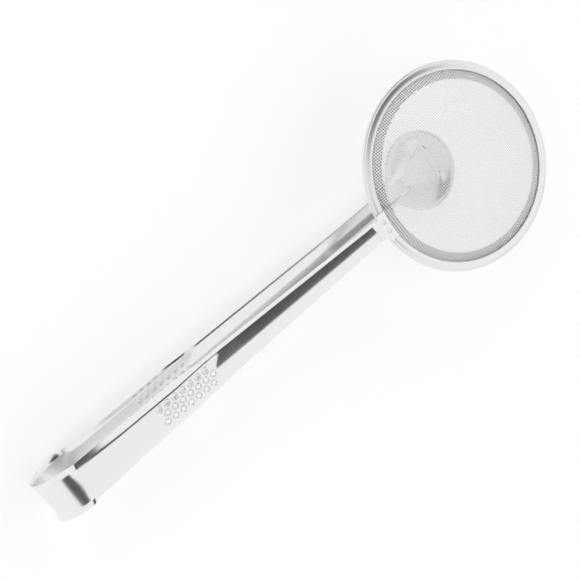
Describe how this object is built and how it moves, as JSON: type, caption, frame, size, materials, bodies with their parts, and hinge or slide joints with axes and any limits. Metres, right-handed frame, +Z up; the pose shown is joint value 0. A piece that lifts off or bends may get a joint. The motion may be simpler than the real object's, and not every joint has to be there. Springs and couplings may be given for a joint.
{
  "type": "mesh strainer tongs",
  "caption": "Sprung frying tongs with a round domed wire sieve on one arm and a small dished press pan on the other, joined by a folded tail bend.",
  "frame": {"origin": "middle of the base of the bounding box, on the surface that the tool rests on", "axes": "+X from the tail bend to the sieve, +Z up from the clamp arm to the sieve arm"},
  "size_m": [0.2699, 0.093, 0.0491],
  "materials": {
    "strip_steel": "polished",
    "rim_steel": "polished",
    "wire_cloth": "woven wire"
  },
  "bodies": {
    "clamp": {"clamp_arm": "strip_steel", "press_plate": "strip_steel", "tail_spring": "strip_steel"},
    "strainer": {"strainer_arm": "strip_steel", "rim_ring": "rim_steel", "sieve_mesh": "wire_cloth", "hem_band": "wire_cloth", "spot_welds": "rim_steel"}
  },
  "joints": [
    {"name": "squeeze", "type": "hinge", "parent": "clamp", "child": "strainer", "pos_m": [-0.1181, 0, 0.0168], "axis": [0, 1, 0], "range_deg": [0, 10.8], "stiffness_Nm_per_rad": 6, "springref_deg": -3.44, "deforming": ["tail_spring"]}
  ]
}
